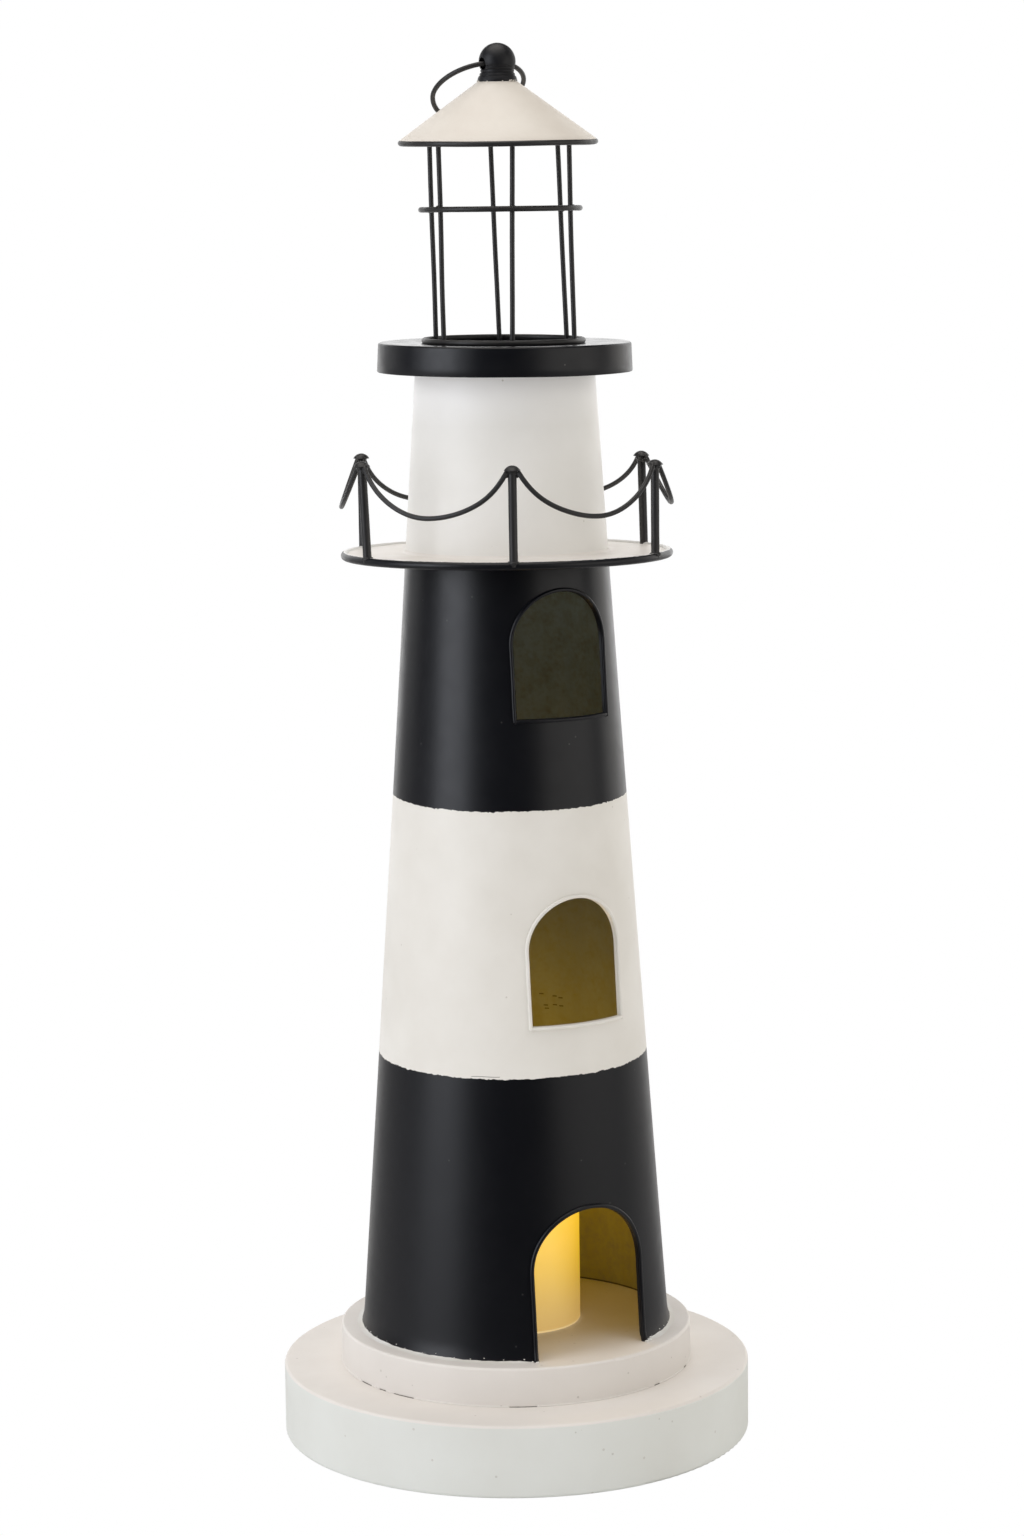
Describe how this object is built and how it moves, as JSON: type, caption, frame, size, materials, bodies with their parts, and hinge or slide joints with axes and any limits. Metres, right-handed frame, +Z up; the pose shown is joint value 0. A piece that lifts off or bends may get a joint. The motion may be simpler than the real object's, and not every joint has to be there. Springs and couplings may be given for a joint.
{
  "type": "lighthouse ornament lamp",
  "caption": "Striped tapering sheet-metal lighthouse on a round wooden base, with a railed gallery, a wire lantern with a ringed roof, and a battery candle glowing inside.",
  "frame": {"origin": "centre of the plinth's underside", "axes": "+Z up the tower's axis, door and windows face -Y"},
  "size_m": [0.18, 0.18, 0.5288],
  "materials": {
    "base_paint": "matt white paint on wood",
    "tower_paint": "satin paint on sheet steel, in black and cream bands",
    "black_sheet": "satin black paint",
    "black_wire": "satin black paint on wire",
    "black_knob": "matt black paint",
    "ring_wire": "satin black paint on wire",
    "cream_wire": "satin cream paint on wire",
    "gallery_paint": "satin white paint",
    "roof_paint": "satin warm cream paint",
    "white_filler": "dried acrylic filler",
    "candle_wax": "ivory candle shell, lit from inside",
    "flame_plastic": "frosted flame tip",
    "lamp_lens": "clear warm white lamp",
    "board_green": "circuit board",
    "white_plastic": "moulded plastic",
    "lead_sleeve": "insulated lead",
    "tray_plastic": "moulded black plastic",
    "switch_plastic": "moulded plastic",
    "slider_plastic": "moulded plastic",
    "cell_wrap": "plain cell sleeve",
    "contact_steel": "plated spring steel",
    "screw_steel": "zinc plated"
  },
  "bodies": {
    "lighthouse": {"base_plinth": "base_paint", "base_screws": "screw_steel", "base_step": "base_paint", "battery_cell_1": "cell_wrap", "battery_cell_2": "cell_wrap", "battery_tray": "tray_plastic", "candle_plug": "white_plastic", "candle_shell": "candle_wax", "contact_plates": "contact_steel", "contact_springs": "contact_steel", "deck_pan": "black_sheet", "door_frame": "black_wire", "finial": "black_knob", "finial_screw": "screw_steel", "finial_washer": "screw_steel", "flame_bulb": "flame_plastic", "foot_filler": "white_filler", "gallery_plate": "gallery_paint", "gallery_post_1": "black_wire", "gallery_post_2": "black_wire", "gallery_post_3": "black_wire", "gallery_post_4": "black_wire", "gallery_post_5": "black_wire", "gallery_post_6": "black_wire", "gallery_rim": "black_wire", "gallery_swag_1": "black_wire", "gallery_swag_2": "black_wire", "gallery_swag_3": "black_wire", "gallery_swag_4": "black_wire", "gallery_swag_5": "black_wire", "gallery_swag_6": "black_wire", "lantern_bottom_ring": "black_wire", "lantern_mid_ring": "black_wire", "lantern_upright_1": "black_wire", "lantern_upright_2": "black_wire", "lantern_upright_3": "black_wire", "lantern_upright_4": "black_wire", "lantern_upright_5": "black_wire", "lantern_upright_6": "black_wire", "led": "lamp_lens", "led_board": "board_green", "led_leads": "lead_sleeve", "lower_window_frame": "cream_wire", "plug_screws": "screw_steel", "roof_cone": "roof_paint", "roof_rim": "black_wire", "switch_body": "switch_plastic", "tower_shell": "tower_paint", "tray_screws": "screw_steel", "upper_window_frame": "black_wire"},
    "lift_ring": {"lift_ring": "ring_wire"},
    "battery_door": {"battery_door": "tray_plastic"},
    "switch_slider": {"switch_slider": "slider_plastic"}
  },
  "joints": [
    {"name": "ring_swing", "type": "hinge", "parent": "lighthouse", "child": "lift_ring", "pos_m": [0, 0, 0.5206], "axis": [1, 0, 0], "range_deg": [0, 250]},
    {"name": "battery_door_swing", "type": "hinge", "parent": "lighthouse", "child": "battery_door", "pos_m": [0, -0.00995, 0.0038], "axis": [-1, 0, 0], "range_deg": [0, 90]},
    {"name": "switch_slide", "type": "slide", "parent": "lighthouse", "child": "switch_slider", "axis": [0, 1, 0], "range_m": [-0.004, 0]}
  ]
}
